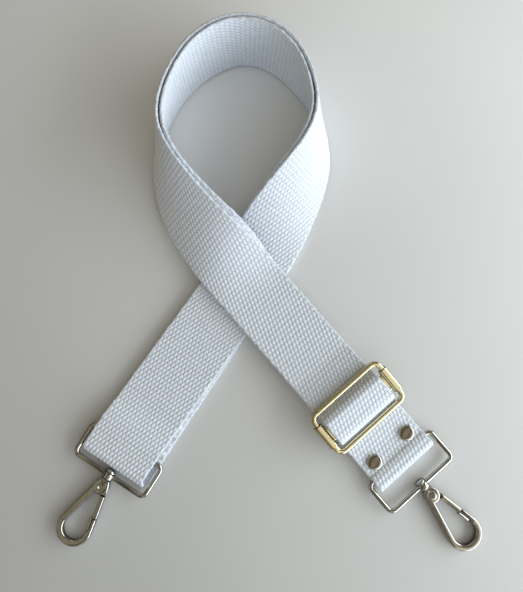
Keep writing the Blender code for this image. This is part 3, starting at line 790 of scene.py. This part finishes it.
def makeStrip(name, middle, sides, firstRow):
    tangent = np.gradient(middle, axis=0)
    tangent /= np.linalg.norm(tangent, axis=1)[:, None]
    normal = np.cross(sides, tangent)
    normal /= np.linalg.norm(normal, axis=1)[:, None]
    offsets, slips, outs, cloth = sectionGrid(len(middle), firstRow)
    points = middle[:, None].copy()
    for direction, distances in ((sides, offsets), (tangent, slips), (normal, outs)):
        points = points + direction[:, None] * distances[..., None]
    points += normal[:, None] * pillowAt(points)[..., None]
    rows, count = offsets.shape
    here = np.arange(rows - 1)[:, None] * count + np.arange(count)
    after = np.arange(rows - 1)[:, None] * count + (np.arange(count) + 1) % count
    faces = np.stack([here, after, after + count, here + count], axis=2).reshape(-1, 4).tolist()
    faces.append(list(range(count))[::-1])
    faces.append(list(range((rows - 1) * count, rows * count)))
    mesh = bpy.data.meshes.new(name)
    mesh.from_pydata(points.reshape(-1, 3).tolist(), [], faces)
    mesh.attributes.new("weave", "FLOAT_VECTOR", "POINT").data.foreach_set("vector", cloth.ravel())
    mesh.shade_smooth()
    return addObject(name, mesh)


def makeWebbing():
    middle, across, seam = evenRows(*webbingRoute())
    rightEnd = makeStrip("webbingRightEnd", middle[:seam + 1], across[:seam + 1], 0)
    longRun = makeStrip("webbingLongRun", middle[seam:], across[seam:], seam)
    for strip, rows, holds in ((rightEnd, seam, ["right_bail", "slider_bar"]),
                               (longRun, len(middle) - 1 - seam, ["left_bail", "slider_bar"])):
        place(strip, None, "webbing", cottonWebbing)
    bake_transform(rightEnd)
    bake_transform(longRun)
    print("webbing woven:", len(middle), "rows,", round((len(middle) - 1) * rowStep, 4), "m long")


makeWebbing()


# Rivets: domed caps over the CAD posts

rivet = {
    "postRadius": 0.0013,
    "steps": 48,
    "hollow": 0.9,              # share of the cap's inside that is open round the post
    # Share of the cap's height with the share of its radius, from the rim's foot to the middle
    "dome": [(0, 0.93), (0.10, 0.985), (0.30, 1.0), (0.55, 0.985), (0.74, 0.93), (0.86, 0.84), (0.93, 0.70),
             (0.97, 0.50), (0.99, 0.25), (1.0, 0.04)],
}


def makeRivetCap(name, node, body):
    level, height, radius = capOf(node)
    foot = middleOf(node)
    foot.z = level
    bore = rivet["postRadius"] + clearance
    roof = height - clearance
    profile = [(share * height, width * radius) for share, width in rivet["dome"]]
    profile = [(rivet["hollow"] * roof, bore), (0, bore)] + profile
    cap = turned(name, profile, up, rightAcross, rivet["steps"], foot)
    place(cap, body, node, rivetNickel)


for number in ("1", "2"):
    makeRivetCap("bailRivetCap" + number, f"bail_rivet_{number}_cap", "strap")
    makeRivetCap("sliderRivetCap" + number, f"slider_rivet_{number}_cap", "slider")


def refinish(node, material):
    # A CAD node that keeps its shape gets the better finish
    mesh = frame["nodes"][node].data
    mesh.materials.clear()
    mesh.materials.append(material)


for number in ("1", "2"):
    for end in ("bail", "slider"):
        refinish(f"{end}_rivet_{number}_post", rivetNickel)
print("rivets made")


# Slider

def roundedPath(left, right, half, radius, steps=12):
    # Round a rectangle with round corners: each point with the direction outwards
    return [(Vector((x, y, 0)), Vector((c, s, 0)))
            for x, y, c, s in roundedBox(right, left, half, -half, radius, steps)]


def makeSliderFrame():
    wide, thick = slider["barWidth"] / 2, slider["barThickness"] / 2
    path = roundedPath(-frameOffset, frameOffset, barSide, slider["cornerRadius"])
    rings = [roundedRing(point, outward, up, wide, wide, thick, thick, slider["edgeRadius"],
                         slider["edgeSteps"]) for point, outward in path]
    ring = loft("sliderFrame", rings, closed=True)
    place(ring, "frame", "slider_frame", paleGold, sliderFrame)


def sleeveSection(grown):
    # From one lip of the seam under the bar round to the other
    wide = slider["barWidth"] / 2 + clearance + grown
    high = slider["barThickness"] / 2 + clearance + grown
    radius, steps = slider["edgeRadius"] + grown, slider["edgeSteps"]
    box = [(x, z) for x, z, *_ in roundedBox(wide, -wide, high, -high, radius, steps)]
    lastCorner = 3 * (steps + 1)
    lip = slider["sleeveSeam"] / 2
    return [(lip, -high)] + box[lastCorner:] + box[:lastCorner] + [(-lip, -high)]


def makeSleeve(name, side):
    wall = slider["sleeveWall"]
    edge = wall / 5
    inner, outer, trimmed = [sleeveSection(grown) for grown in (0, wall, wall - edge)]
    half = slider["sleeveLength"] / 2
    rings = [[Vector((x, side * barSide + y, z)) for y, z in outline + inner[::-1]] for x, outline in
             ((-half, trimmed), (edge - half, outer), (half - edge, outer), (half, trimmed))]
    points, faces = skin(rings)
    count = len(rings[0])
    for first in (0, len(points) - count):
        last = first + count - 1
        for corner in range(count // 2 - 1):
            faces.append((first + corner, first + corner + 1, last - corner - 1, last - corner))
    return addPiece(name, points, faces)


def makeSliderBar():
    end = barSide - slider["barWidth"] / 2 - clearance - slider["sleeveWall"] / 2
    radius = slider["centreThickness"] / 2
    outline = []
    for half, turn in ((1, -0.5), (-1, 0.5)):
        for step in range(13):
            angle = math.pi * (turn + step / 12)
            outline.append((half * centreOffset + radius * math.cos(angle), radius * math.sin(angle)))
    bar = loft("sliderBar", [[Vector((x, y, z)) for x, z in outline] for y in (-end, end)])
    combine(bar, "UNION", [makeSleeve("upperSleeve", 1), makeSleeve("lowerSleeve", -1)])
    smoothen(bar.data)
    place(bar, "slider", "slider_bar", paleGold, sliderFrame)


makeSliderFrame()
makeSliderBar()
print("slider made")


# Bails and hooks, each in its own frame: the origin on the bail's bar, X outwards, Z up

bail = {
    "wireRadius": 0.00125,
    "length": 0.0185,
    "cornerRadius": 0.0030,
    "margin": 0.00055,
    "collarRadius": 0.0031,
    "collarLength": 0.0035,
    "collarEdge": 0.0007,
    "wireSides": 32,
    "postRadius": 0.0012,       # of the swivel rivet through the collar
    "softEdge": 0.00014,
}
hook = {
    "thickness": 0.0042,
    "barWidth": 0.0032,
    "edgeRadius": 0.0008,
    "neckRadius": 0.0022,
    "neckEdge": 0.00048,
    "headRadius": 0.0042,
    "headSteps": 80,
    "shoulderHalf": 0.0030,     # half the width of the head where it meets the collar
    "shoulderRadius": 0.0010,
    "bowRadius": 0.0094,
    "reach": 0.0250,            # from the gate pin to the middle of the bow
    "noseThickness": 0.0019,
    "nosePlace": 0.0170,
    "socketDepth": 0.0013,
    "softEdge": 0.00016,
    "overrun": 0.0010,
}
gate = {
    "width": 0.0026,
    "thickness": 0.0034,
    "edgeRadius": 0.0007,
    "lap": 0.0056,              # how far the tip reaches behind the nose
    "tipWidth": 0.0013,
    "eyeRadius": 0.0023,
    "eyeThickness": 0.0009,
    "pinRadius": 0.0008,
    "pinGap": 0.0001,
    "pinHeadRadius": 0.0019,
    "pinHeadThickness": 0.0004,
    "springTurns": 2.5,
    "springPitch": 0.00034,
    "springWire": 0.00012,
    "springSides": 10,
    "springLeg": 0.0015,
    "coilPoints": 61,
    "legSteps": 10,
    "legBend": (0.0016, 0.0032),    # from the pin, where the leg of the spring starts to follow the gate
    "softEdge": 0.00008,
}
swivel = {"headRadius": 0.0029, "headThickness": 0.0019}
lathe = {"collar": 48, "round": 40, "bore": 32, "pinHole": 24}      # steps to a turn

collarStart = bail["length"] - bail["wireRadius"]
neckStart = collarStart + bail["collarLength"] + clearance
gatePin = Vector(joints["left_gate_opening"]["pos_m"])
pinPlace = (gatePin - Vector(joints["left_bail_swing"]["pos_m"])).length
bowPlace = pinPlace + hook["reach"]
headWheel = hook["headRadius"] - hook["barWidth"] / 2 - clearance
bowWheel = hook["bowRadius"] - hook["barWidth"] / 2
flankAngle = math.asin((bowWheel - headWheel) / hook["reach"])
springHeight = gate["springTurns"] * gate["springPitch"] + 2 * gate["springWire"]
forkWidth = gate["eyeThickness"] + springHeight + 3 * clearance
eyeLow = clearance - forkWidth / 2
eyeHigh = eyeLow + gate["eyeThickness"]
pinFrame = Matrix.Translation(along * pinPlace)
gateLine = Vector((math.cos(flankAngle), math.sin(flankAngle), 0))
gateOutward = up.cross(gateLine)
gateOuter = headWheel + hook["barWidth"] / 2
gateInner = gateOuter - gate["width"]


def roundedEdge(radius, edge, steps=5):
    # From a turned piece's flat end inwards: the places along the axis with the radius there
    angles = [math.pi / 2 * (1 - step / steps) for step in range(steps + 1)]
    return [(edge * (1 - math.sin(angle)), radius - edge * (1 - math.cos(angle))) for angle in angles]


def roundedProfile(start, end, radius, edge):
    # A turned profile from start to end with both edges rounded
    rounding = roundedEdge(radius, edge)
    return [(start + reach, wide) for reach, wide in rounding] + [
        (end - reach, wide) for reach, wide in reversed(rounding)]


def plug(low, high, radius, axis, steps, start=Vector((0, 0, 0))):
    # A plain cylinder to add or to drill with
    side = sideways if axis is along else along
    return turned("plug", [(low, radius), (high, radius)], axis, side, steps, start)


def makeBail(side, matrix):
    half = (strap["width"] + strap["edgeSlip"]) / 2 + bail["margin"] + bail["wireRadius"]
    path = roundedPath(0, bail["length"], half, bail["cornerRadius"])
    rings = [circle(point, outward, up, bail["wireRadius"], bail["wireSides"]) for point, outward in path]
    ring = loft(side + "Bail", rings, closed=True)
    end = collarStart + bail["collarLength"]
    collar = roundedProfile(collarStart, end, bail["collarRadius"], bail["collarEdge"])
    combine(ring, "UNION", [turned("collar", collar, along, sideways, lathe["collar"])])
    combine(ring, "DIFFERENCE", [plug(collarStart - hook["overrun"], end + hook["overrun"],
                                      bail["postRadius"] + clearance, along, lathe["bore"])])
    softenEdges(ring, bail["softEdge"])
    place(ring, side + "_bail", side + "_bail", nickel, matrix)


def makeSwivelRivet(side, matrix):
    face = collarStart - clearance
    thick, radius = swivel["headThickness"], swivel["headRadius"]
    dome = [(0, 0.10), (0.02, 0.30), (0.10, 0.55), (0.24, 0.76), (0.42, 0.90), (0.64, 0.98), (0.85, 1.0),
            (0.97, 0.97)]
    profile = [(face - thick + share * thick, wide * radius) for share, wide in dome]
    tip = neckStart + hook["socketDepth"] - clearance
    profile += [(face, 0.90 * radius), (face, bail["postRadius"]), (tip, bail["postRadius"])]
    piece = turned(side + "SwivelRivet", profile, along, sideways, lathe["round"])
    place(piece, side + "_hook", side + "_swivel_rivet", steel, matrix)


def hookBarRings():
    # From the head along the solid flank, round the bow and back to the nose
    half, high = hook["barWidth"] / 2, hook["thickness"] / 2
    head = (pinPlace, 0, -headWheel)
    path = belt([head, (bowPlace, 0, -bowWheel), head])
    rings = []
    for x, y, angle in path[:-1]:
        outward = Vector((math.sin(angle), -math.cos(angle), 0))
        point = Vector((x, y, 0))
        rings.append(roundedRing(point, outward, up, half, half, high, high, hook["edgeRadius"]))
    x, y, angle = path[-1]
    back = Vector((-math.cos(angle), -math.sin(angle), 0))
    outward = Vector((math.sin(angle), -math.cos(angle), 0))
    lapEnd = hook["nosePlace"] + gate["lap"] + clearance
    for reach in (lapEnd, hook["nosePlace"]):
        point = Vector((x, y, 0)) + back * reach
        rings.append(roundedRing(point, outward, up, half, hook["noseThickness"] - half, high, high,
                                 hook["edgeRadius"]))
    return rings


def headOutline(inset, level):
    # Round the head and its shoulders, which run up to the collar
    radius = hook["shoulderRadius"]
    shoulder, half = neckStart + radius, hook["shoulderHalf"] - radius
    rounds = [(pinPlace, 0, hook["headRadius"]), (shoulder, half, radius), (shoulder, -half, radius)]
    ring = []
    for angle in np.linspace(0, 2 * math.pi, hook["headSteps"], endpoint=False):
        c, s = math.cos(angle), math.sin(angle)
        x, y, reach = max(rounds, key=lambda item: item[0] * c + item[1] * s + item[2])
        ring.append(Vector((x + (reach - inset) * c, y + (reach - inset) * s, level)))
    return ring


def makeHookBody(side, matrix):
    high, half, over = hook["thickness"] / 2, forkWidth / 2, hook["overrun"]
    pin = along * pinPlace
    body = loft(side + "HookBody", hookBarRings())
    plate = loft("plate", [headOutline(hook["headRadius"] - radius, level) for level, radius in
                           roundedProfile(-high, high, hook["headRadius"], hook["edgeRadius"])])
    neckEdge = roundedEdge(hook["neckRadius"], hook["neckEdge"])
    neck = [(neckStart + reach, radius) for reach, radius in neckEdge]
    neck.append((pinPlace - gate["eyeRadius"], hook["neckRadius"]))
    low, wide = -gate["pinRadius"], hook["headRadius"] + over
    corners = ((low, -half), (wide, -half), (wide, half), (low, half))
    mouth = [[Vector((x, y, z)) for y, z in corners] for x in (pinPlace, pinPlace + wide)]
    combine(body, "UNION", [plate, turned("neck", neck, along, sideways, lathe["round"])])
    combine(body, "DIFFERENCE", [
        plug(-half, half, gate["eyeRadius"] + clearance, up, lathe["round"], pin),
        loft("mouth", mouth),
        plug(-high - over, high + over, gate["pinRadius"] + gate["pinGap"], up, lathe["pinHole"], pin),
        plug(neckStart - over, neckStart + hook["socketDepth"], bail["postRadius"] + clearance,
             along, lathe["bore"])])
    softenEdges(body, hook["softEdge"])
    place(body, side + "_hook", side + "_hook_body", nickel, matrix)


def makeGate(side, matrix):
    tipOuter = gateOuter - hook["noseThickness"] - clearance
    tipInner = tipOuter - gate["tipWidth"]
    high, edge = gate["thickness"] / 2, gate["edgeRadius"]
    tipEdge, taper = 0.8 * edge, edge / 4
    root = hook["headRadius"] + clearance
    thin = gate["eyeThickness"] / 4
    step = hook["nosePlace"] - clearance
    tip = hook["nosePlace"] + gate["lap"]
    # Each section along the gate: its place, outer and inner side, top, bottom and edge radius
    full, eye = (gateOuter, gateInner), (eyeHigh, -eyeLow, thin)
    sections = [(gate["eyeRadius"] / 2, *full, *eye),
                (root - clearance, *full, *eye),
                (root, *full, high, high, edge / 2),
                (root + edge, *full, high, high, edge),
                (step - clearance, *full, high, high, edge),
                (step, tipOuter, tipInner, high, high, tipEdge),
                (tip - edge / 2, tipOuter, tipInner, high, high, tipEdge),
                (tip, tipOuter - taper, tipInner + taper, high - taper, high - taper, 0.6 * edge)]
    rings = [roundedRing(gateLine * reach, gateOutward, up, outer, -inner, top, low, radius)
             for reach, outer, inner, top, low, radius in sections]
    piece = loft(side + "Gate", rings)
    combine(piece, "UNION", [plug(eyeLow, eyeHigh, gate["eyeRadius"], up, lathe["round"])])
    combine(piece, "DIFFERENCE", [plug(eyeLow - clearance, eyeHigh + clearance,
                                       gate["pinRadius"] + gate["pinGap"], up, lathe["pinHole"])])
    softenEdges(piece, gate["softEdge"])
    place(piece, side + "_gate", side + "_gate", nickel, matrix @ pinFrame)


def makeGatePin(side, matrix):
    face = hook["thickness"] / 2 + gate["pinGap"]
    thick, radius = gate["pinHeadThickness"], gate["pinHeadRadius"]
    # Share of the head's height with the share of its radius, from the rim over a ring to the middle
    head = [(0, 1.0), (0.75, 0.99), (1.0, 0.90), (1.0, 0.64), (0.45, 0.54), (0.45, 0.04)]
    upper = [(face + share * thick, wide * radius) for share, wide in head]
    profile = [(-reach, wide) for reach, wide in reversed(upper)]
    profile += [(-face, gate["pinRadius"]), (face, gate["pinRadius"])] + upper
    piece = turned(side + "GatePin", profile, up, along, lathe["round"])
    place(piece, side + "_hook", side + "_gate_pin", steel, matrix @ pinFrame)


def makeGateSpring(side, matrix):
    # The same coil as the CAD solid, in finer steps, with a leg that follows the gate
    wire = gate["springWire"]
    radius = gate["pinRadius"] + clearance + wire
    low = eyeHigh + clearance + wire
    path = [Vector((gate["springLeg"], -radius, low))]
    for turn in np.linspace(0, gate["springTurns"], gate["coilPoints"]):
        angle = -math.pi / 2 - 2 * math.pi * turn
        level = low + gate["springPitch"] * turn
        path.append(Vector((radius * math.cos(angle), radius * math.sin(angle), level)))
    belowGate = gateInner - clearance - 2 * wire
    end = gateLine * (hook["headRadius"] + gate["springLeg"]) + gateOutward * belowGate + up * path[-1].z
    path += [path[-1].lerp(end, step / gate["legSteps"]) for step in range(1, gate["legSteps"] + 1)]
    rings = []
    for spot, point in enumerate(path):
        course = (path[min(spot + 1, len(path) - 1)] - path[max(spot - 1, 0)]).normalized()
        flat = course.cross(up).normalized()
        rings.append(circle(point, flat, flat.cross(course), wire, gate["springSides"]))
    spring = loft(side + "GateSpring", rings)
    place(spring, None, side + "_gate_spring", steel, matrix @ pinFrame)
    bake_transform(spring)


for side in ("left", "right"):
    for make in (makeBail, makeSwivelRivet, makeHookBody, makeGate, makeGatePin, makeGateSpring):
        make(side, hookFrame(side))
    print(side, "hook made")


# Floor, light and camera

studio = {
    "floorSize": 3.0,
    "floorGap": 0.0002,
    "floorShadedSide": (0.56, 0.555, 0.525),  # the table's colour darkened by painted shade, towards the lower left
    "floorLitSide": (0.85, 0.835, 0.80),    # and lightened by painted light, towards the upper right
    "floorLightAxis": (0.55, 0.835, 0),
    "floorRoughness": 0.55,
    "floorSpecular": 0.25,
    # The light of the room along its axis, from the far side to the window's side
    "roomAxis": (0.60, -0.55, 0.58),
    "room": [(0.0, (0.19, 0.115, 0.02)), (0.5, (0.245, 0.202, 0.115)), (1.0, (0.64, 0.69, 0.77))],
    "keyDirection": (0.905, -0.24, 0.352),
    "keyDistance": 0.62,
    "keySize": (1.4, 0.36),
    "keyPower": 6.5,
    "keyColour": (0.85, 0.935, 1.0),
    # What metal mirrors along its axis, from the side away from the window to the side of it
    "mirrorAxis": (0.82, -0.57, 0),
    "mirrored": [(0.0, (0.03, 0.028, 0.025)), (0.13, (0.03, 0.028, 0.025)), (0.20, (0.74, 0.70, 0.54)),
                 (0.27, (0.06, 0.05, 0.03)), (0.34, (0.08, 0.07, 0.045)), (0.40, (0.27, 0.25, 0.17)),
                 (0.47, (0.27, 0.25, 0.17)), (0.51, (0.05, 0.045, 0.03)), (0.575, (0.06, 0.05, 0.035)),
                 (0.605, (0.36, 0.32, 0.24)), (0.64, (0.33, 0.29, 0.21)), (0.66, (0.05, 0.045, 0.035)),
                 (0.70, (0.08, 0.07, 0.05)), (0.73, (0.80, 0.76, 0.60)), (0.79, (0.92, 0.90, 0.78)),
                 (0.83, (0.08, 0.07, 0.055)), (0.88, (0.08, 0.07, 0.06)), (0.93, (1.0, 1.0, 1.0))],
}
camera = {"place": (0.00995, -0.05289, 0.3133), "tilt": 8.0, "lens": 34.05, "sensor": 36, "near": 0.01}


def makeFloor():
    half = studio["floorSize"] / 2
    low = cadBox[0][2] - studio["floorGap"]
    corners = [(-half, -half, low), (half, -half, low), (half, half, low), (-half, half, low)]
    mesh = bpy.data.meshes.new("floor")
    mesh.from_pydata(corners, [], [(0, 1, 2, 3)])
    material, tree, shader = newMaterial("paleTableWithPaintedLight")
    spot = tree.nodes.new("ShaderNodeTexCoord").outputs["Object"]
    cloud = addRange(tree, addNoise(tree, spot, 6), 0.35, 0.65, -0.04, 0.04)
    # Painted light and shade: the floor's colour is lighter towards the upper right and darker towards the
    # lower left
    across = addRange(tree, addDot(tree, spot, studio["floorLightAxis"]), -0.2, 0.2)
    tone = addMath(tree, "ADD", across, cloud)
    setInputs(tree, shader, {
        "Base Color": addMix(tree, tone, studio["floorShadedSide"], studio["floorLitSide"]),
        "Roughness": studio["floorRoughness"],
        "Specular IOR Level": studio["floorSpecular"],
    })
    mesh.materials.append(material)
    addObject("floor", mesh)


def addBackground(tree, axis, stops):
    # Its colour changes along an axis of the room
    spot = tree.nodes.new("ShaderNodeTexCoord").outputs["Generated"]
    share = addRange(tree, addDot(tree, spot, Vector(axis).normalized()), -1, 1)
    ramp = addNode(tree, "ShaderNodeValToRGB", {"Fac": share})
    elements = ramp.color_ramp.elements
    while len(elements) < len(stops):
        elements.new(0.5)
    for element, (position, colour) in zip(elements, stops):
        element.position = position
        element.color = (*colour, 1)
    return addNode(tree, "ShaderNodeBackground", {"Color": ramp.outputs["Color"]}).outputs[0]


def makeWorld():
    world = bpy.data.worlds.new("studioRoom")
    world.use_nodes = True
    tree = world.node_tree
    tree.nodes.clear()
    rays = tree.nodes.new("ShaderNodeLightPath")
    mix = addNode(tree, "ShaderNodeMixShader", {
        0: rays.outputs["Is Glossy Ray"],
        1: addBackground(tree, studio["roomAxis"], studio["room"]),
        2: addBackground(tree, studio["mirrorAxis"], studio["mirrored"]),
    })
    addNode(tree, "ShaderNodeOutputWorld", {"Surface": mix.outputs[0]})
    bpy.context.scene.world = world


def makeLight():
    lamp = bpy.data.lights.new("window", "AREA")
    lamp.shape = "RECTANGLE"
    lamp.size, lamp.size_y = studio["keySize"]
    lamp.energy = studio["keyPower"]
    lamp.color = studio["keyColour"]
    direction = Vector(studio["keyDirection"]).normalized()
    light = addObject("window", lamp)
    light.location = direction * studio["keyDistance"]
    light.rotation_euler = direction.to_track_quat("Z", "Y").to_euler()


def makeCamera():
    lens = bpy.data.cameras.new("camera")
    lens.lens = camera["lens"]
    lens.sensor_width = camera["sensor"]
    lens.clip_start = camera["near"]
    viewer = addObject("camera", lens)
    viewer.location = camera["place"]
    viewer.rotation_euler = (math.radians(camera["tilt"]), 0, 0)
    bpy.context.scene.camera = viewer


makeFloor()
makeWorld()
makeLight()
makeCamera()
bpy.context.scene.view_settings.view_transform = "Standard"
print("scene ready")
